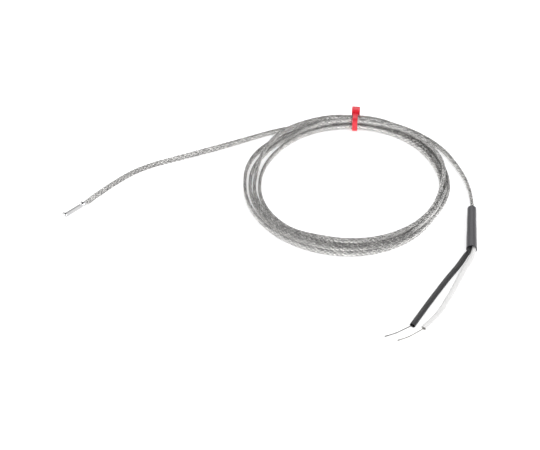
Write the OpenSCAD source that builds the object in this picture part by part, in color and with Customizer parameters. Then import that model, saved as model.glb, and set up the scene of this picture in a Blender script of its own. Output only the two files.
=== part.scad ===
// Pot-style thermocouple: a short closed metal sheath on a flat, steel-braided twin cable.
// The cable lies in a tied coil and ends in two sleeved wires with bare tips.
// The sheath lies along X with its closed tip towards +X, on a surface at z = 0. Millimetres.

/* [Probe] */
// Outside diameter of the sheath
sheath_d = 6; // [5.6:0.1:8]
// Overall length of the sheath
sheath_length = 20; // [18:1:40]
// Wall of the sheath
sheath_wall = 0.5; // [0.3:0.05:0.6]
// Corner radius of the closed tip
tip_radius = 1.8; // [0.8:0.1:2.4]
// Width of the rolled crimp groove
crimp_width = 3; // [2:0.5:4]
// Distance from the open end to the middle of the crimp
crimp_from_end = 3.5; // [2.5:0.5:4.5]
// How far the cable goes into the sheath
cable_insertion = 6; // [5:0.5:8]
// Diameter of the welded junction bead
bead_d = 1.5; // [1.2:0.1:2]

/* [Cable] */
// Width of the flat braided cable
cable_width = 4.3; // [3.5:0.1:4.6]
// Thickness of the flat braided cable
cable_thickness = 2.5; // [2.1:0.1:2.8]
// Thickness of the stainless steel braid
braid_wall = 0.3; // [0.2:0.05:0.4]
// Thickness of the glass fibre jacket under the braid
jacket_wall = 0.2; // [0.1:0.05:0.3]
// Diameter of each bare stranded conductor
conductor_d = 0.6; // [0.4:0.05:0.7]

/* [Coil] */
// Mean radius of the coil
coil_radius = 68; // [56:1:75]
// Width of the loose bundle of turns
bundle_width = 13; // [10:0.5:16]

/* [Tail] */
// Length of the heat-shrink sleeve
shrink_length = 43.5; // [41:0.5:46]
// Diameter of the heat-shrink where it grips the cable
shrink_cable_d = 5.9; // [5.4:0.1:6.4]
// Diameter of the heat-shrink where the wires leave it
shrink_wire_d = 7.2; // [7:0.1:8]
// Wall of the heat-shrink
shrink_wall = 0.45; // [0.3:0.05:0.5]
// Width of a coloured sleeve lying flat on the surface
sleeve_width = 4; // [3.4:0.1:4.3]
// Height of a coloured sleeve lying flat on the surface
sleeve_height = 3.2; // [2.8:0.1:3.6]
// Wall of a coloured sleeve
sleeve_wall = 0.5; // [0.3:0.05:0.6]

/* [Cable tie] */
// Width of the strap
strap_width = 3.6; // [2.5:0.1:4.5]
// Thickness of the strap
strap_thickness = 1.1; // [0.8:0.1:1.4]
// Width of the head along the coil
head_width = 5.7; // [5.4:0.1:7]
// Length of the head up the outer side of the coil
head_length = 7; // [6.6:0.1:8]
// How far the head stands out from the coil
head_depth = 4.5; // [4:0.1:5]

/* [Hidden] */

round_fn = 96;
coil_fn = 180;
wire_fn = 24;
small_fn = 48;
cable_sides = 12;
sleeve_sides = 12;
core_sides = 8;
through = 20;             // open-ended cuts run this far
past = 1;                 // and the others this far past what they cut

// Cable build-up
wrap = braid_wall + jacket_wall;
core_apart = 0.02;        // least room between the two cores
core_d = min(cable_thickness - 2 * wrap, cable_width / 2 - wrap - core_apart);
core_offset = (cable_width - 2 * wrap - core_d) / 2;
jacket_width = cable_width - 2 * braid_wall;
jacket_thickness = cable_thickness - 2 * braid_wall;

// Probe, along its own axis from the open end
bore_r = sheath_d / 2 - sheath_wall;
axis_z = sheath_d / 2;
open_end = -sheath_length / 2;
crimp_depth = bore_r - cable_width / 2;
end_thicker = 0.1;        // the drawn end is this much thicker than the wall
end_wall = sheath_wall + end_thicker;
braid_end = open_end + cable_insertion;
jacket_shown = 1.5;       // jacket past the cut braid
jacket_end = braid_end + jacket_shown;
bead_from_end = 2.9;      // cement between the bead's middle and the end wall
bead_x = sheath_length / 2 - end_wall - bead_from_end;
leg_length = 5;
core_end = bead_x - leg_length;
leg_gap = 0.02;
leg_end_y = conductor_d / 2 + leg_gap / 2;
leg_end_x = bead_x - bead_d / 4;

// Coil and the tied part of its bundle. A larger or smaller coil still meets the tie and the leads.
tie_point = [-206.235, 74.535, 0];
tie_angle = 218;
coil_centre = tie_point - coil_radius * [cos(tie_angle), sin(tie_angle), 0];
bundle_height = 2 * cable_width;
bundle_corner = 2.5;
tied_slack = [0.8, 0.4];  // room left between the turns under the tie, across and up
tied_shift = 0.5;         // the tie pulls the turns this far outwards
tied_width = 3 * cable_thickness + tied_slack[0];
tied_low = coil_radius + tied_shift - tied_width / 2;
tied_high = coil_radius + tied_shift + tied_width / 2;
tied_bottom = strap_thickness;
tied_top = tied_bottom + 2 * cable_width + tied_slack[1];
tied_corner = 2;
groove_gap = 0.3;

// Cable tie head, its slot and its pawl. The head stands on the outer side of the bundle.
head_over = 2.4;          // head above the strap that passes through it
head_top = tied_top + strap_thickness + head_over;
head_bottom = head_top - head_length;
head_corner = 0.6;
slot_gap = 0.15;
strap_stub = 0.5;         // what is left of the cut-off strap
strap_end = tied_high + head_depth + strap_stub;
pawl_width = 2.4;
pawl_gap = 0.2;
pawl_pivot = [tied_high + 1.3, tied_top - 1.45];
pawl_root_r = 0.45;
socket_gap = 0.05;
chamber_below = 0.9;      // the pawl's chamber reaches this far below its pivot
pawl_tip_gap = 0.12;
pawl_neck = [0.2, -0.4];  // one side of the pawl's neck from its pivot, out and up
pawl_tooth = [1.25, 1.85];
pawl_heel = 0.55;         // where the pawl's outer face starts, above its pivot

// Heat-shrink, which lies straight
shrink_start = [-191.3, 196.7, shrink_wire_d / 2];
shrink_angle = 39.4;
shrink_grip = 14;         // how far the braid runs into it
jacket_bare = 4;          // how far the jacket runs past the braid
core_straight = 3;        // how far the cores run straight past the jacket
shrink_waist = 18;        // where its bore starts to widen
cone_end = 24;            // and where it stops
shrink_chamfer = [0.3, 1];
neck_gap = 0.1;           // bore of the neck over the cable's half width
sleeve_inside = 17;       // how far the sleeves run into it
sleeve_start = shrink_length - sleeve_inside;
squeezed_gap = 0.1;       // round the two sleeves squeezed side by side
squeezed_width = shrink_wire_d / 2 - shrink_wall - squeezed_gap;
squeezed_taller = 0.5;
squeezed_height = squeezed_width + squeezed_taller;
sleeves_apart = 0.04;
sleeve_side = (squeezed_width + sleeves_apart) / 2;

function along_shrink(s, side = 0, rise = 0) = shrink_start
  + s * [cos(shrink_angle), sin(shrink_angle), 0]
  + side * [-sin(shrink_angle), cos(shrink_angle), 0]
  + [0, 0, rise];

// Routes. A cable point is x, y, z and how far the flat cable is turned up on edge, in degrees.
flat_z = cable_thickness / 2;
edge_z = cable_width / 2;
function turned(p, roll) = [p[0], p[1], p[2], roll];
lead_route = [
  [braid_end, 0, axis_z, 0], [open_end, 0, axis_z, 0], [open_end - 3, 0, axis_z, 0],
  [-20, -1.6, 2.2, 0], [-28, -2.8, flat_z + 0.1, 0], [-44, -3.5, flat_z, 0],
  [-60, -2.5, flat_z, 0], [-76, 1.9, flat_z + 0.12, 6], [-92, 8.8, flat_z + 0.33, 20],
  [-108, 15.8, flat_z + 0.58, 38], [-124, 22.5, flat_z + 0.8, 61], [-142, 29.5, edge_z, 86],
  [-158.2, 35.7, edge_z, 90], [-173, 43.3, edge_z, 90], [-188, 52.5, edge_z, 90]
];
tail_route = [
  [-223.3, 97.3, 5.6, 90], [-227, 107.3, 4.7, 90], [-229, 118, 3.9, 90],
  [-229.7, 129, 3, 90], [-227.7, 143, edge_z, 90], [-219.6, 162, edge_z, 90],
  [-212.6, 174, edge_z, 90], [-205, 183.6, 2.6, 90],
  turned(along_shrink(-5), 90), turned(along_shrink(0), 90), turned(along_shrink(shrink_grip), 90)
];
positive_free = [[-151, 224.6], [-140, 227.4], [-126, 230.4], [-101, 236.6], [-75, 243.6]];
negative_free = [[-150, 229.8], [-138.5, 233.4], [-117, 241.4], [-96, 248.2], [-78, 250.6]];
positive_wire_end = [[-75, 243.3, 1.6], [-69.5, 241.8, 1.1], [-63, 239.8, 0.5], [-55.6, 236.8, 0.5]];
negative_wire_end = [[-78, 250.5, 1.6], [-73.5, 249.9, 1.3], [-66, 248, 0.5], [-58.5, 245.2, 0.5]];
core_short = 4;           // how far each core stops short of its sleeve's cut end

sleeve_drop = 0.7;        // a sleeve's first free point is still this far off the surface

function lying(points) = [for (i = [0 : len(points) - 1])
  [points[i][0], points[i][1], sleeve_height / 2 + (i == 0 ? sleeve_drop : 0)]];
function sleeve_route(side, free) = concat(
  [along_shrink(sleeve_start, side * sleeve_side), along_shrink(shrink_length, side * sleeve_side)],
  lying(free));
function shortened(points, by) = let (
  n = len(points) - 1,
  back = points[n - 1] - points[n])
  [for (i = [0 : n]) i < n ? points[i] : points[n] + by * back / norm(back)];
function core_route(side, free) = concat(
  [along_shrink(shrink_grip + jacket_bare, 0, side * core_offset),
   along_shrink(shrink_grip + jacket_bare + core_straight, 0, side * core_offset)],
  shortened(sleeve_route(side, free), core_short));
function last(points) = points[len(points) - 1];

// Smooth curve through a list of points, and rings of any section swept along it
function spline(a, b, c, d, t) = 0.5 * (2 * b + (c - a) * t
  + (2 * a - 5 * b + 4 * c - d) * t * t + (3 * b - a - 3 * c + d) * t * t * t);
function smooth(p, steps) = let (n = len(p) - 1) concat(
  [for (i = [0 : n - 1], k = [0 : steps - 1])
    spline(i > 0 ? p[i - 1] : 2 * p[0] - p[1], p[i], p[i + 1],
           i < n - 1 ? p[i + 2] : 2 * p[n] - p[n - 1], k / steps)],
  [p[n]]);
function xyz(p) = [p[0], p[1], p[2]];
function unit(v) = v / norm(v);
function heading(p, i) = unit(xyz(p[min(i + 1, len(p) - 1)]) - xyz(p[max(i - 1, 0)]));
// A flat section with round ends, as points across and up
function oval(width, height, sides) = let (
  r = min(width, height) / 2,
  reach = [width / 2 - r, height / 2 - r])
  [for (k = [0 : sides - 1]) let (a = (k + 0.5) * 360 / sides)
    [sign(cos(a)) * reach[0] + r * cos(a), sign(sin(a)) * reach[1] + r * sin(a)]];
// One ring of the section: across lies level, and roll turns it up on edge
function ring(p, i, section, roll) = let (
  along = heading(p, i),
  across = unit(cross([0, 0, 1], along)),
  up = cross(along, across))
  [for (s = section) xyz(p[i])
    + (s[0] * cos(roll) - s[1] * sin(roll)) * across
    + (s[0] * sin(roll) + s[1] * cos(roll)) * up];
function flat_list(lists) = [for (l = lists) each l];
function skin(first, rings, sides) = [for (i = [0 : rings - 2], k = [0 : sides - 1], half = [0, 1])
  let (
    a = first + i * sides + k,
    b = first + i * sides + (k + 1) % sides)
  half == 0 ? [a, a + sides, b] : [b, a + sides, b + sides]];
function flipped(faces) = [for (f = faces) [f[2], f[1], f[0]]];
function rim(outer, inner, sides) = [for (k = [0 : sides - 1], half = [0, 1])
  let (j = (k + 1) % sides)
  half == 0 ? [outer + k, outer + j, inner + k] : [inner + k, outer + j, inner + j]];

module swept_solid(route, sections, rolls) {
  sides = len(sections[0]);
  rings = len(route);
  points = flat_list([for (i = [0 : rings - 1]) ring(route, i, sections[i], rolls[i])]);
  start_cap = [for (k = [0 : sides - 1]) k];
  end_cap = [for (k = [sides - 1 : -1 : 0]) (rings - 1) * sides + k];
  polyhedron(points, concat(skin(0, rings, sides), [start_cap, end_cap]), convexity = 10);
}

module swept_tube(route, outer_sections, inner_sections) {
  sides = len(outer_sections[0]);
  rings = len(route);
  inner = rings * sides;
  points = concat(
    flat_list([for (i = [0 : rings - 1]) ring(route, i, outer_sections[i], 0)]),
    flat_list([for (i = [0 : rings - 1]) ring(route, i, inner_sections[i], 0)]));
  start_rim = rim(0, inner, sides);
  end_rim = flipped(rim(inner - sides, 2 * inner - sides, sides));
  polyhedron(points, concat(skin(0, rings, sides), flipped(skin(inner, rings, sides)),
    start_rim, end_rim), convexity = 10);
}

// Plain shapes
module rod(from, to, d) {
  v = to - from;
  translate(from)
    rotate([0, acos(v[2] / norm(v)), atan2(v[1], v[0])])
      cylinder(h = norm(v), d = d, $fn = wire_fn);
}

module obround(width, thickness) {
  straight = width - thickness;
  square([straight, thickness], center = true);
  for (side = [-1, 1])
    translate([side * straight / 2, 0]) circle(d = thickness, $fn = small_fn);
}

module rounded_rect(low, high, r) {
  size = high - low;
  translate([low[0] + r, low[1]]) square([size[0] - 2 * r, size[1]]);
  translate([low[0], low[1] + r]) square([size[0], size[1] - 2 * r]);
  for (x = [low[0] + r, high[0] - r], y = [low[1] + r, high[1] - r])
    translate([x, y]) circle(r = r, $fn = small_fn);
}

// Stands a shape drawn along +Z from 0 on the probe's axis, from x towards the tip
module on_probe_axis(x) {
  translate([x, 0, axis_z]) rotate([0, 90, 0]) children();
}

// Stands a shape drawn along +Z from 0 on the heat-shrink's axis, from s along it
module on_shrink_axis(s) {
  translate(along_shrink(s)) rotate([0, 90, shrink_angle]) children();
}

// Puts a profile drawn as (radius, height) across the bundle at the tie, width along the coil
module across_bundle(width) {
  translate(coil_centre) rotate([0, 0, tie_angle]) rotate([90, 0, 0])
    linear_extrude(width, center = true) children();
}

// Probe
function crimp_profile(r) = [for (t = [-1 : 0.25 : 1])
  [r - crimp_depth * (1 + cos(180 * t)) / 2, crimp_from_end + t * crimp_width / 2]];
function reversed(points) = [for (i = [len(points) - 1 : -1 : 0]) points[i]];

module sheath_profile() {
  tip = [for (a = [0 : 15 : 75]) [sheath_d / 2 - tip_radius * (1 - cos(a)),
                                  sheath_length - tip_radius * (1 - sin(a))]];
  polygon(concat(
    [[bore_r, 0], [sheath_d / 2, 0]],
    crimp_profile(sheath_d / 2),
    tip,
    [[sheath_d / 2 - tip_radius, sheath_length], [0, sheath_length],
     [0, sheath_length - end_wall], [bore_r, sheath_length - end_wall]],
    reversed(crimp_profile(bore_r))));
}

module probe_sheath() {
  color("silver")
    on_probe_axis(open_end)
      rotate_extrude($fn = round_fn) sheath_profile();
}

module jacket_tip_shape() {
  on_probe_axis(braid_end)
    rotate([0, 0, 90])
      linear_extrude(jacket_end - braid_end) obround(jacket_width, jacket_thickness);
}

module core_tip_shape(side) {
  translate([0, side * core_offset, 0])
    on_probe_axis(jacket_end)
      cylinder(h = core_end - jacket_end, d = core_d, $fn = small_fn);
}

module leg_shape(side) {
  rod([core_end, side * core_offset, axis_z], [leg_end_x, side * leg_end_y, axis_z], conductor_d);
}

module bead_shape() {
  translate([bead_x, 0, axis_z]) sphere(d = bead_d, $fn = small_fn);
}

module potting_cement() {
  fill = sheath_length / 2 - end_wall - braid_end;
  color("linen")
    difference() {
      on_probe_axis(braid_end) cylinder(h = fill, r = bore_r, $fn = round_fn);
      jacket_tip_shape();
      for (side = [-1, 1]) {
        core_tip_shape(side);
        leg_shape(side);
      }
      bead_shape();
    }
}

module junction_bead() {
  color("dimgray") bead_shape();
}

module leg(side) {
  difference() {
    leg_shape(side);
    bead_shape();
    core_tip_shape(side);
  }
}

module positive_leg() {
  color("gray") leg(-1);
}

module negative_leg() {
  color("lightgray") leg(1);
}

module positive_core_tip() {
  color("black") core_tip_shape(-1);
}

module negative_core_tip() {
  color("white") core_tip_shape(1);
}

module jacket_tip() {
  color("ivory") jacket_tip_shape();
}

// Cable
module cable_run(route) {
  path = smooth(route, 2);
  section = oval(cable_width, cable_thickness, cable_sides);
  swept_solid(path, [for (p = path) section], [for (p = path) p[3]]);
}

module lead_braid() {
  color("gainsboro") cable_run(lead_route);
}

module tail_braid() {
  color("gainsboro") cable_run(tail_route);
}

module tied_section() {
  rounded_rect([tied_low, tied_bottom], [tied_high, tied_top], tied_corner);
}

module coil_braid() {
  groove = head_width + 2 * groove_gap;
  color("gainsboro") {
    difference() {
      translate(coil_centre)
        rotate_extrude($fn = coil_fn)
          rounded_rect([coil_radius - bundle_width / 2, 0],
                       [coil_radius + bundle_width / 2, bundle_height], bundle_corner);
      across_bundle(groove)
        translate([coil_radius - bundle_width, -past])
          square([2 * bundle_width, bundle_height + 2 * past]);
    }
    across_bundle(groove) tied_section();
  }
}

// Tail
module jacket_tail() {
  color("ivory")
    on_shrink_axis(shrink_grip)
      linear_extrude(jacket_bare) obround(jacket_width, jacket_thickness);
}

module core_tail(side, free) {
  route = core_route(side, free);
  section = oval(core_d, core_d, core_sides);
  swept_solid(route, [for (p = route) section], [for (p = route) 0]);
}

module positive_core_tail() {
  color("black") core_tail(-1, positive_free);
}

module negative_core_tail() {
  color("white") core_tail(1, negative_free);
}

module heat_shrink() {
  grip_r = shrink_cable_d / 2;
  wire_r = shrink_wire_d / 2;
  inside = wire_r - shrink_wall;
  neck_r = edge_z + neck_gap;
  color("dimgray")
    difference() {
      on_shrink_axis(0)
        rotate_extrude($fn = round_fn)
          polygon([[0, 0], [grip_r - shrink_chamfer[0], 0], [grip_r, shrink_chamfer[1]],
                   [wire_r, cone_end], [wire_r, shrink_length], [inside, shrink_length],
                   [inside, cone_end], [neck_r, shrink_waist], [neck_r, shrink_grip],
                   [0, shrink_grip]]);
      on_shrink_axis(-past)
        linear_extrude(shrink_grip + 2 * past) obround(cable_width, cable_thickness);
    }
}

module sleeve(side, free) {
  route = sleeve_route(side, free);
  squeezed = [squeezed_width, squeezed_height];
  relaxed = [sleeve_width, sleeve_height];
  sizes = [for (i = [0 : len(route) - 1]) i < 2 ? squeezed : relaxed];
  swept_tube(route,
    [for (s = sizes) oval(s[0], s[1], sleeve_sides)],
    [for (s = sizes) oval(s[0] - 2 * sleeve_wall, s[1] - 2 * sleeve_wall, sleeve_sides)]);
}

module positive_sleeve() {
  color([0.13, 0.13, 0.13]) sleeve(-1, positive_free);
}

module negative_sleeve() {
  color("whitesmoke") sleeve(1, negative_free);
}

// The bare wire bends out of its sleeve, and its last stretch is straight and round
module wire(points) {
  n = len(points) - 1;
  bent = [for (i = [0 : n - 1]) points[i]];
  section = oval(conductor_d, conductor_d, core_sides);
  swept_solid(bent, [for (p = bent) section], [for (p = bent) 0]);
  rod(points[n - 1], points[n], conductor_d);
}

module positive_wire() {
  color("gray") wire(concat([last(core_route(-1, positive_free))], positive_wire_end));
}

module negative_wire() {
  color("lightgray") wire(concat([last(core_route(1, negative_free))], negative_wire_end));
}

// Cable tie. Its top run goes outwards through the head, where the pawl bears on it from below.
module strap_profile() {
  t = [strap_thickness, strap_thickness];
  difference() {
    rounded_rect([tied_low, tied_bottom] - t, [tied_high, tied_top] + t,
                 tied_corner + strap_thickness);
    tied_section();
    translate([tied_high - tied_corner, tied_top - tied_corner])
      square([through, through]);
  }
  translate([tied_high - tied_corner, tied_top])
    square([strap_end - tied_high + tied_corner, strap_thickness]);
}

module pawl_chamber() {
  translate(pawl_pivot) circle(r = pawl_root_r + socket_gap, $fn = small_fn);
  translate([pawl_pivot[0], pawl_pivot[1] - chamber_below])
    square([through, tied_top - pawl_pivot[1] + chamber_below]);
}

module cable_tie() {
  color("crimson") {
    difference() {
      across_bundle(head_width)
        rounded_rect([tied_high, head_bottom], [tied_high + head_depth, head_top], head_corner);
      across_bundle(strap_width + 2 * slot_gap)
        translate([tied_high - past, tied_top - slot_gap])
          square([through, strap_thickness + 2 * slot_gap]);
      across_bundle(pawl_width + 2 * pawl_gap) pawl_chamber();
    }
    across_bundle(strap_width) strap_profile();
  }
}

module tie_pawl() {
  reach = tied_top - pawl_tip_gap - pawl_pivot[1];
  color("crimson")
    across_bundle(pawl_width)
      translate(pawl_pivot) {
        circle(r = pawl_root_r, $fn = small_fn);
        polygon([pawl_neck, [pawl_tooth[1], pawl_heel], [pawl_tooth[1], reach],
                 [pawl_tooth[0], reach], -pawl_neck]);
      }
}

probe_sheath();
potting_cement();
junction_bead();
positive_leg();
negative_leg();
positive_core_tip();
negative_core_tip();
jacket_tip();
lead_braid();
coil_braid();
tail_braid();
jacket_tail();
positive_core_tail();
negative_core_tail();
heat_shrink();
positive_sleeve();
negative_sleeve();
positive_wire();
negative_wire();
cable_tie();
tie_pawl();
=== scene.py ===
import math

import bpy
import numpy as np
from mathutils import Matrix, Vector


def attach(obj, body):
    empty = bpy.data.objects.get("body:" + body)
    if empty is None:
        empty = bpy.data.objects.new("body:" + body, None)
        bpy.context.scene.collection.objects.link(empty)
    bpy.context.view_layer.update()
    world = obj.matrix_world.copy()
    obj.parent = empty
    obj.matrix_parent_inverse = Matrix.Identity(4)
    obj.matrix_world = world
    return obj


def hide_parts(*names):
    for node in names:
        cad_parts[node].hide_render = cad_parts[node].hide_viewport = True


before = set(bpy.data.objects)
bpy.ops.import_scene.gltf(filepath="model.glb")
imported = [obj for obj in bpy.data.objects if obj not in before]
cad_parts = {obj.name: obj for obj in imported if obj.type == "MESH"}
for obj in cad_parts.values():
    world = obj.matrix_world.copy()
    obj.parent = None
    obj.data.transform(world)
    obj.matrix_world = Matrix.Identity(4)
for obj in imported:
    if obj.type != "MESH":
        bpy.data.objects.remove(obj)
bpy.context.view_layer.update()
BODY = "thermocouple"

# Sizes in millimetres. Those of the cable, sheath, heat-shrink and sleeves are as in part.scad.
WIDTH, THICK = 4.3, 2.5
FLAT_Z, EDGE_Z = THICK / 2, WIDTH / 2
COIL_CENTRE = (-151.0, 118.0)     # what the turns' radii are measured from, not the CAD ring's centre
SHEATH_R, SHEATH_WALL, OPEN_END, TIP_END = 3.0, 0.5, -10.0, 10.0
SHRINK_START, SHRINK_ANGLE, SHRINK_LENGTH = np.array([-191.3, 196.7, 3.6]), 39.4, 43.5
SHRINK_WALL, CABLE_INSIDE = 0.45, 14
SLEEVE_W, SLEEVE_H, SLEEVE_WALL, SLEEVE_SIDE, SLEEVE_INSIDE = 4.0, 3.2, 0.5, 1.545, 17
SQUEEZED_W, SQUEEZED_H, EASE_LENGTH = 3.05, 3.55, 10     # a sleeve inside the heat-shrink
VIEW_TO_ROW = -226.0      # a coil angle as the camera sees it, to an angle in the row frame
TURN_STEP = 9.0           # degrees between points along the turns
CURVE_STEPS, PATH_STRIDE = 12, 4     # steps from point to point, and route points per path point
MM = 0.001
CAMERA_AZIMUTH, CAMERA_ELEVATION, CAMERA_DISTANCE = 134, 40, 1.4


# ---------------------------------------------------------------- routes
def along_shrink(s, side=0.0, rise=0.0):
    a = math.radians(SHRINK_ANGLE)
    return SHRINK_START + [s * math.cos(a) - side * math.sin(a),
                           s * math.sin(a) + side * math.cos(a), rise]


# Both leads: x, y and height of the cable's centre, and how far its section is rolled in degrees
LEAD = [
    (-4, 0, 3, 0), (-10, 0, 3, 0), (-13, 0, 3, 0), (-20, -1.6, 2.2, 0), (-28, -2.8, FLAT_Z + 0.1, 0),
    (-44, -3.5, FLAT_Z, 0), (-60, -2.5, FLAT_Z, 0), (-76, 1.9, FLAT_Z + 0.12, 6),
    (-92, 8.8, FLAT_Z + 0.33, 20), (-108, 15.8, FLAT_Z + 0.58, 38), (-124, 22.5, FLAT_Z + 0.8, 61),
    (-142, 29.5, EDGE_Z, 86),
    (-158.2, 35.7, EDGE_Z, 90), (-173, 43.3, EDGE_Z, 90), (-188, 52.5, EDGE_Z, 90),
]
TAIL = [
    (-223.3, 97.3, 5.6, 90), (-227, 107.3, 4.7, 90), (-229, 118, 3.9, 90), (-229.7, 129, 3, 90),
    (-227.7, 143, EDGE_Z, 90), (-219.6, 162, EDGE_Z, 90), (-212.6, 174, EDGE_Z, 90), (-205, 183.6, 2.6, 90),
    (*along_shrink(-5), 90), (*along_shrink(0), 90), (*along_shrink(CABLE_INSIDE), 90),
]
# The four turns: angle as the camera sees it, radius and height of the cable's centre. It runs clockwise.
LOW, HIGH, TIED_LOW, TIED_HIGH = EDGE_Z, EDGE_Z + WIDTH, EDGE_Z + 1.1, EDGE_Z + WIDTH + 1.1
TURNS = [
    (96, 74.3, LOW), (84, 73.7, TIED_LOW),
    (60, 74.9, LOW), (45, 74.0, LOW), (30, 72.7, LOW), (15, 71.3, LOW), (-5, 69.8, LOW),
    (-17, 67.8, LOW), (-30, 66.5, LOW), (-40, 67.2, LOW), (-52, 68.8, LOW), (-62, 69.8, LOW),
    (-75, 71.0, LOW), (-90, 71.8, LOW), (-120, 71.9, LOW), (-150, 71.7, LOW), (-180, 72.2, LOW),
    (-195, 73.7, LOW), (-210, 74.6, LOW), (-225, 73.6, LOW), (-240, 72.3, LOW), (-255, 71.8, LOW),
    (-266, 71.4, LOW), (-276, 71.2, TIED_LOW),
    (-300, 72.2, LOW), (-315, 71.2, LOW), (-330, 69.9, LOW), (-345, 68.6, LOW), (-350, 68.3, LOW),
    (-365, 67.6, LOW + 1.4), (-377, 66.6, HIGH), (-395, 66.2, HIGH), (-408, 66.3, LOW + 2.4),
    (-420, 66.4, LOW),
    (-450, 66.5, LOW), (-480, 67.0, LOW), (-510, 67.7, LOW), (-540, 68.5, LOW), (-555, 69.3, LOW),
    (-570, 69.2, LOW), (-585, 69.4, LOW), (-595, 69.4, LOW), (-608, 69.6, LOW + 2.6), (-618, 69.9, HIGH),
    (-636, 69.9, TIED_HIGH),
    (-650, 71.5, HIGH), (-660, 72.6, HIGH), (-675, 73.0, HIGH), (-690, 72.2, HIGH), (-705, 70.0, HIGH),
    (-720, 66.0, HIGH), (-725, 65.0, HIGH), (-735, 64.0, HIGH), (-750, 63.8, HIGH), (-780, 63.6, HIGH),
    (-810, 63.2, HIGH), (-825, 62.4, HIGH - 0.5), (-837, 61.5, LOW + 2), (-850, 61.9, LOW + 0.5),
    (-862, 61.9, LOW), (-885, 62.0, LOW), (-900, 61.8, LOW), (-915, 62.2, LOW), (-930, 62.9, LOW),
    (-945, 64.3, LOW), (-960, 66.3, LOW), (-975, 68.2, LOW), (-996, 68.6, TIED_LOW),
    (-1020, 69.6, LOW), (-1035, 68.6, LOW), (-1050, 67.2, LOW), (-1065, 66.0, LOW), (-1080, 65.0, LOW),
    (-1095, 64.2, LOW), (-1110, 63.8, LOW), (-1140, 63.5, LOW), (-1170, 63.5, LOW), (-1200, 64.0, LOW),
    (-1230, 64.9, LOW), (-1260, 65.5, LOW), (-1268, 65.7, LOW + 0.2), (-1280, 66.5, HIGH - 0.9),
    (-1285, 67.3, HIGH), (-1295, 69.6, HIGH), (-1305, 72.2, HIGH), (-1315, 73.7, HIGH), (-1325, 74.4, HIGH),
    (-1335, 74.6, HIGH + 0.4), (-1346, 74.2, HIGH + 0.9), (-1356, 73.4, TIED_HIGH), (-1365, 74.5, HIGH + 0.8),
    (-1372, 75.0, HIGH),
]
POSITIVE_FREE = [(-151, 224.6), (-140, 227.4), (-126, 230.4), (-101, 236.6), (-75, 243.6)]
NEGATIVE_FREE = [(-150, 229.8), (-138.5, 233.4), (-117, 241.4), (-96, 248.2), (-78, 250.6)]
POSITIVE_WIRE = [(-75, 243.3, 1.6), (-69.5, 241.8, 1.1), (-63, 239.8, 0.5), (-55.6, 236.8, 0.5)]
NEGATIVE_WIRE = [(-78, 250.5, 1.6), (-73.5, 249.9, 1.3), (-66, 248, 0.5), (-58.5, 245.2, 0.5)]


def smooth(points, steps):
    """Catmull-Rom curve through the points."""
    p = np.array(points, float)
    p = np.vstack([2 * p[0] - p[1], p, 2 * p[-1] - p[-2]])
    t = np.arange(steps)[:, None] / steps
    out = []
    for a, b, c, d in zip(p, p[1:], p[2:], p[3:]):
        out.append(0.5 * (2 * b + (c - a) * t + (2 * a - 5 * b + 4 * c - d) * t**2
                          + (3 * b - a - 3 * c + d) * t**3))
    return np.vstack([*out, p[-2][None]])


def turn_points():
    """Coil points at even angles; radius and height ease from one key to the next."""
    keys = np.array(TURNS, float)
    x = -keys[:, 0]
    at = np.linspace(x[0], x[-1], int((x[-1] - x[0]) / TURN_STEP) + 1)
    rows = []
    for column in (1, 2):
        y = keys[:, column]
        slope = np.zeros(len(x))
        left, right = np.diff(y)[:-1] / np.diff(x)[:-1], np.diff(y)[1:] / np.diff(x)[1:]
        same = left * right > 0
        slope[1:-1] = np.where(same, 2 * left * right / np.where(same, left + right, 1), 0)
        i = np.clip(np.searchsorted(x, at, side="right") - 1, 0, len(x) - 2)
        h = x[i + 1] - x[i]
        t = (at - x[i]) / h
        rows.append((1 + 2 * t) * (1 - t)**2 * y[i] + t * (1 - t)**2 * h * slope[i]
                    + t * t * (3 - 2 * t) * y[i + 1] + t * t * (t - 1) * h * slope[i + 1])
    angle = np.radians(-at + VIEW_TO_ROW)
    radius, height = rows
    return np.stack([COIL_CENTRE[0] + radius * np.cos(angle), COIL_CENTRE[1] + radius * np.sin(angle),
                     height, np.full(len(at), 90.0)], 1)


def even(points, step):
    """The same line with points step apart."""
    gaps = np.linalg.norm(np.diff(points[:, :3], axis=0), axis=1)
    s = np.concatenate([[0], np.cumsum(gaps)])
    at = np.linspace(0, s[-1], int(round(s[-1] / step)) + 1)
    return np.stack([np.interp(at, s, points[:, k]) for k in range(points.shape[1])], 1)


class Route:
    """A centreline with its frame: along, across (level) and up, and how far the section is rolled."""

    def __init__(self, points, step=0.5):
        p = even(np.asarray(points, float), step)
        self.xyz = p[:, :3]
        self.roll = np.radians(p[:, 3]) if p.shape[1] > 3 else np.zeros(len(p))
        gaps = np.linalg.norm(np.diff(self.xyz, axis=0), axis=1)
        self.s = np.concatenate([[0], np.cumsum(gaps)])
        self.length = self.s[-1]
        along = np.gradient(self.xyz, axis=0)
        self.along = along / np.linalg.norm(along, axis=1)[:, None]
        across = np.cross([0, 0, 1.0], self.along)
        self.across = across / np.linalg.norm(across, axis=1)[:, None]
        self.up = np.cross(self.along, self.across)

    def place(self, s, x, y):
        """Row-frame points for x across and y up in the section at distance s. Arrays of one shape."""
        def take(values):
            return np.stack([np.interp(s, self.s, values[:, k]) for k in range(3)], -1)
        roll = np.interp(s, self.s, self.roll)
        level, rise = x * np.cos(roll) - y * np.sin(roll), x * np.sin(roll) + y * np.cos(roll)
        beyond = np.where(s < 0, s, np.where(s > self.length, s - self.length, 0))
        return (take(self.xyz) + level[..., None] * take(self.across) + rise[..., None] * take(self.up)
                + beyond[..., None] * take(self.along))


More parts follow.
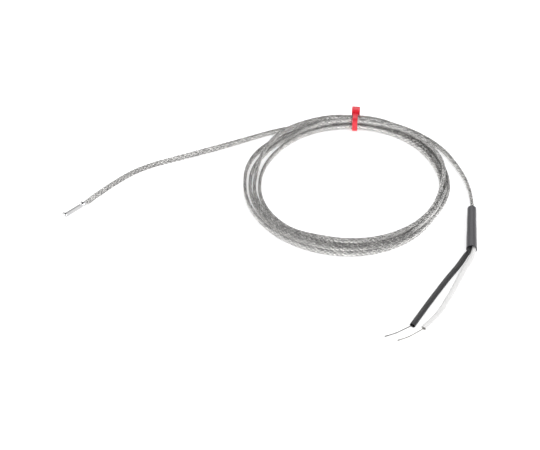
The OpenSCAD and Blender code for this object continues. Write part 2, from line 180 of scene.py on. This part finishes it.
def obround(u, offset, width=WIDTH, thick=THICK):
    """A point at fraction u round a flat section with round ends, moved out by offset."""
    r, reach = thick / 2, (width - thick) / 2
    quarter = [2 * reach, math.pi * r, 2 * reach, math.pi * r]
    ends = np.cumsum(quarter)
    p = (u % 1.0) * ends[-1]
    out = r + offset
    top = p < ends[0]
    left = (p >= ends[0]) & (p < ends[1])
    bottom = (p >= ends[1]) & (p < ends[2])
    a_left = math.pi / 2 + (p - ends[0]) / r
    a_right = -math.pi / 2 + (p - ends[2]) / r
    x = np.where(top, reach - p, np.where(left, -reach + out * np.cos(a_left),
        np.where(bottom, -reach + (p - ends[1]), reach + out * np.cos(a_right))))
    y = np.where(top, out, np.where(left, out * np.sin(a_left),
        np.where(bottom, -out, out * np.sin(a_right))))
    return x, y


# ---------------------------------------------------------------- mesh helpers
def grid_faces(rows, columns, first=0, closed=False):
    i = np.arange(rows - 1)[:, None] * columns
    j = np.arange(columns if closed else columns - 1)[None]
    k = (j + 1) % columns
    quads = np.stack([i + j, i + k, i + columns + k, i + columns + j], -1).reshape(-1, 4)
    return quads + first


def make_mesh(name, points_mm, faces, material, attributes=None, replaces=(), body=BODY):
    """A smooth-shaded piece from points in millimetres and quads (or any polygons), riding on a body."""
    mesh = bpy.data.meshes.new(name)
    points = np.asarray(points_mm, float).reshape(-1, 3) * MM
    if isinstance(faces, np.ndarray):
        mesh.vertices.add(len(points))
        mesh.vertices.foreach_set("co", points.ravel())
        mesh.loops.add(faces.size)
        mesh.loops.foreach_set("vertex_index", faces.ravel().astype(np.int32))
        mesh.polygons.add(len(faces))
        mesh.polygons.foreach_set("loop_start", np.arange(0, faces.size, 4, dtype=np.int32))
        mesh.update(calc_edges=True)
    else:
        mesh.from_pydata(points.tolist(), [], faces)
    mesh.polygons.foreach_set("use_smooth", np.ones(len(mesh.polygons), bool))
    for key, values in (attributes or {}).items():
        layer = mesh.attributes.new(key, "FLOAT", "POINT")
        layer.data.foreach_set("value", np.asarray(values, np.float32).ravel())
    mesh.materials.append(material)
    obj = bpy.data.objects.new(name, mesh)
    bpy.context.scene.collection.objects.link(obj)
    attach(obj, body)
    if replaces:
        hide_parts(*replaces)
    return obj


# ---------------------------------------------------------------- materials
def new_material(name, **values):
    m = bpy.data.materials.new(name)
    m.use_nodes = True
    shader = m.node_tree.nodes["Principled BSDF"]
    for key, value in values.items():
        shader.inputs[key.replace("_", " ")].default_value = value
    return m, m.node_tree.nodes, m.node_tree.links, shader


def node(nodes, links, kind, inputs=None, **settings):
    n = nodes.new(kind)
    for key, value in settings.items():
        setattr(n, key, value)
    for key, value in (inputs or {}).items():
        if isinstance(value, bpy.types.NodeSocket):
            links.new(value, n.inputs[key])
        else:
            n.inputs[key].default_value = value
    return n


def maths(nodes, links, operation, a, b=0.0):
    return node(nodes, links, "ShaderNodeMath", {0: a, 1: b}, operation=operation).outputs[0]


def object_noise(nodes, links, scale, detail=3.0, stretch=(1, 1, 1)):
    where = nodes.new("ShaderNodeTexCoord").outputs["Object"]
    stretched = node(nodes, links, "ShaderNodeMapping", {"Vector": where, "Scale": stretch}).outputs[0]
    return node(nodes, links, "ShaderNodeTexNoise",
                {"Vector": stretched, "Scale": scale, "Detail": detail}).outputs["Fac"]


def spread(nodes, links, value, low, high):
    return node(nodes, links, "ShaderNodeMapRange", {"Value": value, "To Min": low, "To Max": high,
                                                     "From Min": 0.25, "From Max": 0.75}).outputs[0]


def tint(nodes, links, value, dark, light):
    ramp = node(nodes, links, "ShaderNodeValToRGB", {"Fac": value})
    ramp.color_ramp.elements[0].color = (*dark, 1)
    ramp.color_ramp.elements[1].color = (*light, 1)
    ramp.color_ramp.elements[0].position, ramp.color_ramp.elements[1].position = 0.3, 0.7
    return ramp.outputs[0]


def bump(nodes, links, shader, height, distance_mm, strength=1.0):
    b = node(nodes, links, "ShaderNodeBump", {"Height": height, "Distance": distance_mm * MM,
                                              "Strength": strength})
    links.new(b.outputs[0], shader.inputs["Normal"])


WIRE_WAVE = 7.85      # two and a half half-waves from a ribbon's middle to its edge: five wires across


def braid_steel():
    m, nodes, links, shader = new_material("braid_steel", Metallic=1.0)
    lane = node(nodes, links, "ShaderNodeAttribute", attribute_name="lane").outputs["Fac"]
    # The per-ribbon attribute read here carries random tone plus painted shade: darker under crossings, at
    # ribbon edges and on the cable's round ends.
    tone_and_painted_shade = node(nodes, links, "ShaderNodeAttribute", attribute_name="tone_and_painted_shade").outputs["Fac"]
    wave = maths(nodes, links, "SINE", maths(nodes, links, "MULTIPLY", lane, WIRE_WAVE))
    wires = maths(nodes, links, "ABSOLUTE", wave)
    # The wire ripple also sets the colour, lighter on each wire and darker between wires: painted shade in
    # the grooves.
    mix = maths(nodes, links, "ADD", maths(nodes, links, "MULTIPLY", wires, 0.2), tone_and_painted_shade)
    links.new(tint(nodes, links, mix, (0.12, 0.12, 0.125), (0.92, 0.91, 0.89)), shader.inputs["Base Color"])
    rough = object_noise(nodes, links, 900.0)
    links.new(spread(nodes, links, rough, 0.16, 0.26), shader.inputs["Roughness"])
    bump(nodes, links, shader, wires, 0.12, 1.0)
    return m


def polished_steel():
    m, nodes, links, shader = new_material("sheath_steel", Metallic=1.0)
    turned = object_noise(nodes, links, 300.0, stretch=(12, 0.6, 0.6))
    smudge = object_noise(nodes, links, 160.0)
    colour = tint(nodes, links, smudge, (0.80, 0.80, 0.81), (0.89, 0.885, 0.88))
    links.new(colour, shader.inputs["Base Color"])
    links.new(spread(nodes, links, turned, 0.10, 0.22), shader.inputs["Roughness"])
    bump(nodes, links, shader, turned, 0.01, 0.5)
    return m


def speckled(name, dark, light, rough, scale, depth_mm, metallic=0.0, **values):
    """A dull material whose colour, roughness and height follow one fine noise."""
    m, nodes, links, shader = new_material(name, Metallic=metallic, **values)
    grain = object_noise(nodes, links, scale, detail=5.0)
    links.new(tint(nodes, links, grain, dark, light), shader.inputs["Base Color"])
    links.new(spread(nodes, links, grain, rough - 0.06, rough + 0.08), shader.inputs["Roughness"])
    bump(nodes, links, shader, grain, depth_mm, 0.6)
    return m


def sleeving(name, dark, light, rough, **values):
    """Varnished glass fibre: fine yarns follow the sleeve's own lattice, kept in the mesh. The relief
    attribute also darkens the colour between the yarns and inside the open end: painted shade.
    """
    m, nodes, links, shader = new_material(name, **values)
    relief = node(nodes, links, "ShaderNodeAttribute", attribute_name="relief").outputs["Fac"]
    fibre = object_noise(nodes, links, 2600.0, detail=4.0)
    mix = maths(nodes, links, "ADD", maths(nodes, links, "MULTIPLY", relief, 0.6),
                maths(nodes, links, "MULTIPLY", fibre, 0.4))
    links.new(tint(nodes, links, mix, dark, light), shader.inputs["Base Color"])
    links.new(spread(nodes, links, fibre, rough - 0.08, rough + 0.1), shader.inputs["Roughness"])
    bump(nodes, links, shader, fibre, 0.05, 0.5)
    return m


STEEL_BRAID = braid_steel()
STEEL_SHEATH = polished_steel()
# The jacket's dark colour is painted shade: it stands for the shadow in the gaps of the braid.
JACKET_IN_PAINTED_SHADE = speckled("glass_jacket", (0.03, 0.03, 0.032), (0.07, 0.068, 0.066), 0.7, 1500, 0.04)
CEMENT = speckled("cement", (0.62, 0.58, 0.5), (0.78, 0.74, 0.66), 0.85, 1200, 0.1)
JUNCTION = speckled("junction_metal", (0.18, 0.17, 0.17), (0.34, 0.32, 0.31), 0.4, 1800, 0.03,
                    metallic=1.0)
IRON = speckled("iron_wire", (0.10, 0.095, 0.09), (0.2, 0.19, 0.18), 0.45, 2200, 0.02, metallic=1.0)
CONSTANTAN = speckled("constantan_wire", (0.28, 0.27, 0.25), (0.42, 0.41, 0.38), 0.38, 2200, 0.02,
                      metallic=1.0)
BLACK_GLASS = speckled("black_glass", (0.012, 0.012, 0.013), (0.04, 0.04, 0.042), 0.55, 2200, 0.05)
WHITE_GLASS = speckled("white_glass", (0.62, 0.6, 0.56), (0.8, 0.79, 0.76), 0.6, 2200, 0.05)
SHRINK = speckled("heat_shrink", (0.034, 0.032, 0.039), (0.046, 0.044, 0.053), 0.36, 420, 0.03,
                  Coat_Weight=0.25, Coat_Roughness=0.25)
BLACK_SLEEVE = sleeving("black_sleeving", (0.006, 0.006, 0.007), (0.034, 0.034, 0.036), 0.27,
                        Sheen_Weight=0.05, Sheen_Roughness=0.4)
WHITE_SLEEVE = sleeving("white_sleeving", (0.74, 0.73, 0.72), (0.96, 0.955, 0.95), 0.46,
                        Sheen_Weight=0.1, Sheen_Roughness=0.5)
NYLON = speckled("red_nylon", (0.80, 0.025, 0.045), (0.90, 0.04, 0.065), 0.3, 500, 0.02,
                 Subsurface_Weight=0.15, Subsurface_Scale=0.001)


# ---------------------------------------------------------------- cable
LAY, CARRIERS, RIBBON = 26.0, 8, 1.2       # lay length, carriers each way, ribbon width
BRAID_STEP, BRAID_SINK, BRAID_LIFT = 0.58, 0.12, 0.1     # mesh step, mean depth, rise over a crossing
WEAVE_HARDNESS = 2.0      # how sharply a ribbon steps from under to over
EDGE_DROP, MIDDLE_RISE = 0.1, 0.04         # a ribbon's crown
JACKET_SINK, JACKET_STEP, JACKET_SIDES = 0.33, 2.0, 14


def braid_piece(name, route, start, stop, replaces=()):
    """Both sets of flat wire ribbons from start to stop along the cable, two over and two under."""
    perimeter = 2 * (WIDTH - THICK) + math.pi * THICK
    slope = math.atan2(perimeter, LAY)
    points, faces, lanes, tones_and_painted_shades, first = [], [], [], [], 0
    s = np.linspace(start, stop, int((stop - start) / BRAID_STEP) + 1)
    crossing = 2 * CARRIERS * s / LAY
    for way in (1, -1):
        for k in range(CARRIERS):
            centre = 0.5 if way == 1 else 2.5
            phase = (2 * k + way * crossing - centre) * math.pi / 2
            over = np.tanh(WEAVE_HARDNESS * np.cos(phase)) / math.tanh(WEAVE_HARDNESS)
            drift = 0.008 * np.sin(s / 23 + 2.1 * k + way) + 0.005 * np.sin(s / 9.1 + 5.0 * k)
            wide = RIBBON * (1 + 0.06 * np.sin(s / 31 + 1.7 * k + 2 * way))
            # Random tone per ribbon, plus painted light and shade: brighter where the ribbon passes over,
            # darker where it passes under.
            tone_and_painted_shade = (0.42 + 0.05 * np.sin(s / 47 + 3.3 * k + way) + 0.05 * np.sin(s / 13 + 1.3 * k)
                     + 0.16 * over)
            for lane, crown in ((-1, -EDGE_DROP), (0, MIDDLE_RISE), (1, -EDGE_DROP)):
                q = lane * wide / 2
                u = k / CARRIERS + drift + way * s / LAY + q * math.cos(slope) / perimeter
                at = s - way * q * math.sin(slope)
                x, y = obround(u, -BRAID_SINK + BRAID_LIFT * over + crown)
                round_end = np.clip((np.abs(x) - (WIDTH - THICK) / 2) / THICK * 2, 0, 1)
                points.append(route.place(at, x, y))
                lanes.append(np.full(len(s), float(lane)))
                # Painted shade: darker towards each ribbon's edges, and darker on the cable's round ends to
                # stand in for the shade in the grooves and the dark reflection on the strand tops.
                tones_and_painted_shades.append(tone_and_painted_shade + 0.03 - 0.13 * abs(lane) - 0.17 * round_end**2)
            n = len(s)
            i = np.arange(n - 1)
            for lane in (0, 1):
                a, b = first + lane * n, first + (lane + 1) * n
                quad = [a + i, b + i, b + i + 1, a + i + 1]
                faces.append(np.stack(quad if way == 1 else quad[::-1], -1))
            first += 3 * n
    return make_mesh(name, np.vstack(points), np.vstack(faces), STEEL_BRAID,
                     {"lane": np.concatenate(lanes), "tone_and_painted_shade": np.concatenate(tones_and_painted_shades)}, replaces)


def jacket_piece(name, route):
    """The glass fibre jacket under the braid, seen only between the ribbons; its dark colour is painted
    shade.
    """
    rows, sides = int(route.length / JACKET_STEP), JACKET_SIDES
    s = np.linspace(0, route.length, rows)[:, None] + np.zeros(sides)[None]
    u = np.zeros(rows)[:, None] + (np.arange(sides) / sides)[None]
    x, y = obround(u, -JACKET_SINK)
    return make_mesh(name, route.place(s, x, y), grid_faces(rows, sides, closed=True), JACKET_IN_PAINTED_SHADE)


def build_cable():
    coil = turn_points()
    route = Route(smooth(np.vstack([np.array(LEAD, float), coil, np.array(TAIL, float)]), CURVE_STEPS))
    lead_end = Route(smooth(LEAD, CURVE_STEPS)).length
    tail_start = route.length - Route(smooth(TAIL, CURVE_STEPS)).length
    middle = (lead_end + tail_start) / 2
    pieces = [
        braid_piece("lead_overbraid", route, 0, lead_end, ["lead_braid"]),
        braid_piece("coil_overbraid", route, lead_end, middle, ["coil_braid"]),
        braid_piece("coil_overbraid_end", route, middle, tail_start),
        braid_piece("tail_overbraid", route, tail_start, route.length, ["tail_braid"]),
    ]
    jacket = jacket_piece("cable_jacket", route)
    return route, jacket, pieces


# ---------------------------------------------------------------- probe
def lathe(name, profile, material, replaces, sides=96):
    """Turns (x, radius) points round the probe's axis."""
    rows = len(profile)
    a = np.linspace(0, 2 * math.pi, sides, endpoint=False)
    x = np.array([p[0] for p in profile])[:, None] + 0 * a[None]
    r = np.array([p[1] for p in profile])[:, None]
    points = np.stack([x, r * np.cos(a)[None], SHEATH_R + r * np.sin(a)[None]], -1)
    return make_mesh(name, points, grid_faces(rows, sides, closed=True), material, None, replaces)


def build_sheath():
    crimp_middle, crimp_half, depth = OPEN_END + 3.5, 1.5, 0.35
    lip, tip_round, inside_shown, step = 0.14, 1.8, 8, 0.16

    def outer(x):
        t = (x - crimp_middle) / crimp_half
        return SHEATH_R - (depth * (1 + math.cos(math.pi * t)) / 2 if abs(t) < 1 else 0)

    def arc(cx, cr, r, start, stop, n):
        angles = np.radians(np.linspace(start, stop, n))
        return [(cx + r * math.cos(a), cr + r * math.sin(a)) for a in angles]

    body = [(x, outer(x)) for x in np.arange(OPEN_END + lip + 0.1, TIP_END - tip_round, step)]
    inside = [(x, outer(x) - SHEATH_WALL)
              for x in np.arange(OPEN_END + inside_shown, OPEN_END + lip, -step)]
    profile = (inside + arc(OPEN_END + lip, SHEATH_R - SHEATH_WALL + lip, lip, -90, -180, 4)
               + arc(OPEN_END + lip, SHEATH_R - lip, lip, 180, 90, 5) + body
               + arc(TIP_END - tip_round, SHEATH_R - tip_round, tip_round, 90, 4, 14)
               + [(TIP_END, r) for r in (1.15, 1.0, 0.5, 0.02)])
    return lathe("sheath_shell", profile, STEEL_SHEATH, ["probe_sheath"])


# ---------------------------------------------------------------- tail
def build_heat_shrink():
    """A shrunk sleeve: snug on the cable's edges at one end, wider round the two sleeves at the other."""
    rows, sides = 150, 72
    narrow, widening, end_cut = 3.12, 0.55, 0.4
    s = np.linspace(0, SHRINK_LENGTH, rows)
    a = np.linspace(0, 2 * math.pi, sides, endpoint=False)
    half = narrow + widening * s / SHRINK_LENGTH
    ripple = (0.04 * np.sin(s / 2.9)[:, None] * np.cos(3 * a)[None]
              + 0.03 * np.sin(s / 5.1 + 1)[:, None] * np.sin(2 * a + 1)[None])
    flat = 0.06 * (1 - s / SHRINK_LENGTH)[:, None] * np.abs(np.cos(a))[None]**0.8
    r = half[:, None] + ripple - flat
    direction = math.radians(SHRINK_ANGLE)
    along = np.array([math.cos(direction), math.sin(direction), 0])
    across = np.array([-along[1], along[0], 0])

    def shell(s_at, radius):
        base = SHRINK_START + s_at[..., None] * along
        return (base + (radius * np.cos(a)[None])[..., None] * across
                + (radius * np.sin(a)[None])[..., None] * np.array([0, 0, 1.0]))

    grid = np.repeat(s[:, None], sides, 1)
    # The open end is cut a little askew, with a soft outer corner
    skew = 0.3 * np.cos(a)[None] * (s[:, None] / SHRINK_LENGTH)**4
    outer = shell((grid + skew - end_cut)[3:], r[3:])
    lip_s, lip_r = (grid + skew)[-1:], r[-1:]
    rim = [shell(lip_s - 0.28, lip_r - 0.04), shell(lip_s - 0.1, lip_r - 0.16),
           shell(lip_s - 0.12, lip_r - SHRINK_WALL + 0.05)]
    inner = [shell((grid + skew)[k:k + 1] - end_cut, r[k:k + 1] - SHRINK_WALL)
             for k in range(rows - 3, rows - 62, -6)]
    # The cable end turns in on to the braid with a soft corner
    lead = [shell(np.full((1, sides), at), r[:1] - inset)
            for at, inset in ((0.6, 1.1), (0.1, 0.9), (0.0, 0.4), (0.03, 0.14), (0.16, 0.03))]
    points = np.vstack([*lead, outer, *rim, *inner])
    return make_mesh("heat_shrink_sleeve", points, grid_faces(len(points), sides, closed=True), SHRINK,
                     None, ["heat_shrink"])


SLEEVE_STEP, YARN_SIDES = 0.33, 8          # mesh step, and mesh columns for each yarn
FIRST_RISE = 0.7          # how much higher than lying flat a sleeve is just outside the heat-shrink


def sleeve_route(side, free):
    lying = [(*p, SLEEVE_H / 2 + (FIRST_RISE if i == 0 else 0)) for i, p in enumerate(free)]
    return [tuple(along_shrink(SHRINK_LENGTH - SLEEVE_INSIDE, side * SLEEVE_SIDE)),
            tuple(along_shrink(SHRINK_LENGTH, side * SLEEVE_SIDE)), *lying]


def build_sleeve(name, route, material, node_name, yarns, pitch, relief_mm):
    """A hollow braided sleeve: the crossing yarns stand up from the mesh, and the cut end is open."""
    sides = YARN_SIDES * yarns
    rows = int(route.length / SLEEVE_STEP)
    s = np.linspace(0, route.length, rows)[:, None] + np.zeros(sides)[None]
    u = np.zeros(rows)[:, None] + (np.arange(sides) / sides)[None]
    a, b = yarns * u + s / pitch, yarns * u - s / pitch
    on_top = np.floor(a) % 2 == np.floor(b) % 2
    relief = np.where(on_top, np.abs(np.sin(math.pi * a)), np.abs(np.sin(math.pi * b)))**0.7
    ease = np.clip((s - SLEEVE_INSIDE) / EASE_LENGTH, 0, 1)
    w = SQUEEZED_W + (SLEEVE_W - SQUEEZED_W) * ease
    h = SQUEEZED_H + (SLEEVE_H - SQUEEZED_H) * ease
    angle = 2 * math.pi * u

    def ring(scale_out, at):
        return route.place(at, (w / 2 + scale_out) * np.cos(angle), (h / 2 + scale_out) * np.sin(angle))

    outer = ring(relief_mm * (relief - 1), s)
    last = angle[-1:]
    fray = 0.25 * np.sin(last * 5 + 1) + 0.15 * np.sin(last * 11)

    def end_ring(inset, back):
        at = s[-1:] - back + 0.6 * fray
        return route.place(at, (w[-1:] / 2 - inset) * np.cos(last), (h[-1:] / 2 - inset) * np.sin(last))

    ends = [end_ring(0.05, -0.05), end_ring(0.25, -0.12), end_ring(SLEEVE_WALL, 0.0)]
    inner = [end_ring(SLEEVE_WALL, back) for back in (0.8, 2.0, 4.0, 8.0)]
    points = np.vstack([outer, *ends, *inner])
    # Painted shade: the cut end and the inside of the bore get low values, which darken the colour.
    relief_and_painted_shade = np.vstack([relief, np.full((len(ends), sides), 0.5), np.full((len(inner), sides), 0.1)])
    return make_mesh(name, points, grid_faces(len(points), sides, closed=True), material,
                     {"relief": relief_and_painted_shade}, [node_name])


STRANDS, STRAND_R, STRAND_TWIST = 7, 0.1, 7.5
STRAND_RING, OPEN_LENGTH, OPEN_UP = 0.2, 3.5, 0.22     # six strands round one, spread at the end


def build_strands(name, points, material, node_name):
    """Seven fine wires twisted together, a little open at the very end."""
    route = Route(smooth(points, 10), 0.25)
    sides, rows = 8, int(route.length / 0.3)
    s = np.linspace(0, route.length, rows)
    open_up = OPEN_UP * np.clip((s - route.length + OPEN_LENGTH) / OPEN_LENGTH, 0, 1)**2
    a = np.linspace(0, 2 * math.pi, sides, endpoint=False)
    parts, faces, first = [], [], 0
    for k in range(STRANDS):
        outside = 0 if k == STRANDS - 1 else 1
        turn = 2 * math.pi * (s / STRAND_TWIST + k / (STRANDS - 1))
        cx = outside * (STRAND_RING + open_up) * np.cos(turn)
        cy = outside * (STRAND_RING + open_up * 0.6) * np.sin(turn)
        cut = route.length - 0.5 * (k % 3)
        at = np.minimum(s, cut)[:, None] + np.zeros(sides)[None]
        x = cx[:, None] + STRAND_R * np.cos(a)[None]
        y = cy[:, None] + STRAND_R * np.sin(a)[None]
        ring = route.place(at, x, y)
        cap = np.repeat(ring[-1:].mean(1, keepdims=True), sides, 1)
        parts.append(np.vstack([ring, cap]).reshape(-1, 3))
        faces.append(grid_faces(rows + 1, sides, first, closed=True))
        first += (rows + 1) * sides
    return make_mesh(name, np.vstack(parts), np.vstack(faces), material, None, [node_name])


# ---------------------------------------------------------------- carried-over CAD pieces
TIE_EDGE = 0.12


def finish_cad_nodes():
    looks = {
        "potting_cement": CEMENT, "junction_bead": JUNCTION,
        "positive_leg": IRON, "negative_leg": CONSTANTAN,
        "positive_core_tip": BLACK_GLASS, "negative_core_tip": WHITE_GLASS, "jacket_tip": JACKET_IN_PAINTED_SHADE,
        "jacket_tail": JACKET_IN_PAINTED_SHADE, "positive_core_tail": BLACK_GLASS, "negative_core_tail": WHITE_GLASS,
        "cable_tie": NYLON, "tie_pawl": NYLON,
    }
    for name, material in looks.items():
        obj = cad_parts[name]
        if not obj.material_slots:
            obj.data.materials.append(material)
        for slot in obj.material_slots:
            slot.material = material
    for name in ("cable_tie", "tie_pawl"):
        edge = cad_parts[name].modifiers.new("edge", "BEVEL")
        edge.width, edge.segments = TIE_EDGE * MM, 2
        edge.limit_method, edge.angle_limit = "ANGLE", math.radians(40)


# ---------------------------------------------------------------- stage
LOOK = Vector((-0.08505, 0.105785, 0.0))     # the point the camera looks at, in metres
FLOOR_REACH, FLOOR_GLOW = 6.0, 0.55
LENS, SENSOR_WIDTH = 136.06, 36.0


def build_stage():
    corners = [(x * FLOOR_REACH, y * FLOOR_REACH, 0) for x, y in ((-1, -1), (1, -1), (1, 1), (-1, 1))]
    mesh = bpy.data.meshes.new("floor")
    mesh.from_pydata(corners, [], [(0, 1, 2, 3)])
    floor = bpy.data.objects.new("floor", mesh)
    bpy.context.scene.collection.objects.link(floor)
    m, nodes, links, shader = new_material("floor", Roughness=0.8)
    grain = object_noise(nodes, links, 3.0)
    colour = tint(nodes, links, grain, (0.86, 0.86, 0.865), (0.88, 0.88, 0.885))
    links.new(colour, shader.inputs["Base Color"])
    shader.inputs["Specular IOR Level"].default_value = 0.1
    shader.inputs["Emission Color"].default_value = (1, 1, 1, 1)
    shader.inputs["Emission Strength"].default_value = FLOOR_GLOW
    mesh.materials.append(m)


def area_light(name, where, size, power):
    light = bpy.data.lights.new(name, "AREA")
    light.shape, light.size, light.size_y = "RECTANGLE", size[0], size[1]
    light.energy = power
    obj = bpy.data.objects.new(name, light)
    bpy.context.scene.collection.objects.link(obj)
    obj.location = LOOK + where
    obj.rotation_euler = (-where).to_track_quat("-Z", "Y").to_euler()


def view_direction(azimuth, elevation):
    a, e = math.radians(azimuth), math.radians(elevation)
    return Vector((math.sin(a) * math.cos(e), -math.cos(a) * math.cos(e), math.sin(e)))


def build_lights():
    world = bpy.data.worlds.new("studio")
    world.use_nodes = True
    bpy.context.scene.world = world
    nodes, links = world.node_tree.nodes, world.node_tree.links
    where = nodes.new("ShaderNodeTexCoord").outputs["Generated"]
    up = node(nodes, links, "ShaderNodeSeparateXYZ", {0: where}).outputs[2]
    ramp = node(nodes, links, "ShaderNodeValToRGB", {"Fac": up})
    horizon, zenith = ramp.color_ramp.elements
    horizon.color, horizon.position = (0.95, 0.95, 0.95, 1), 0.0
    zenith.color, zenith.position = (0.03, 0.03, 0.033, 1), 0.92
    ramp.color_ramp.elements.new(0.82).color = (0.85, 0.85, 0.85, 1)
    links.new(ramp.outputs[0], nodes["Background"].inputs[0])
    nodes["Background"].inputs[1].default_value = 0.9
    area_light("key", view_direction(CAMERA_AZIMUTH + 50, 48) * 2.0, (1.0, 1.0), 10)
    area_light("fill", view_direction(CAMERA_AZIMUTH - 60, 35) * 2.2, (1.2, 0.9), 5)
    area_light("back", view_direction(CAMERA_AZIMUTH + 175, 40) * 2.0, (1.8, 0.7), 5)
    bpy.context.scene.view_settings.view_transform = "Standard"


def build_camera():
    data = bpy.data.cameras.new("camera")
    data.sensor_width, data.lens = SENSOR_WIDTH, LENS
    data.clip_start, data.clip_end = 0.01, 50
    camera = bpy.data.objects.new("camera", data)
    bpy.context.scene.collection.objects.link(camera)
    camera.location = LOOK + view_direction(CAMERA_AZIMUTH, CAMERA_ELEVATION) * CAMERA_DISTANCE
    camera.rotation_euler = (LOOK - camera.location).to_track_quat("-Z", "Y").to_euler()
    bpy.context.scene.camera = camera


# ---------------------------------------------------------------- build
WIRE_ROOT = -9            # the sleeve's route point where its bare wire begins
ENDS = {
    "positive": dict(side=-1, free=POSITIVE_FREE, wire=POSITIVE_WIRE, look=BLACK_SLEEVE, metal=IRON,
                     sleeve_slot="black_sleeving", wire_slot="iron_wire", yarns=8, pitch=1.35, relief=0.22),
    "negative": dict(side=1, free=NEGATIVE_FREE, wire=NEGATIVE_WIRE, look=WHITE_SLEEVE, metal=CONSTANTAN,
                     sleeve_slot="white_sleeving", wire_slot="constantan_wire", yarns=12, pitch=1.2,
                     relief=0.1),
}


def build_wire_end(name, end):
    """One sleeve with its bare stranded end."""
    route = Route(smooth(sleeve_route(end["side"], end["free"]), CURVE_STEPS))
    sleeve = build_sleeve(name + "_sleeving", route, end["look"], name + "_sleeve",
                          end["yarns"], end["pitch"], end["relief"])
    strands = build_strands(name + "_strands", [tuple(route.xyz[WIRE_ROOT]), *end["wire"]], end["metal"],
                            name + "_wire")
    print(name, "sleeve length mm", round(route.length, 1))


def main():
    build_camera()
    build_stage()
    build_lights()
    route, jacket, braids = build_cable()
    print("cable length mm", round(route.length, 1))
    build_sheath()
    shrink = build_heat_shrink()
    finish_cad_nodes()
    for name, end in ENDS.items():
        build_wire_end(name, end)


main()
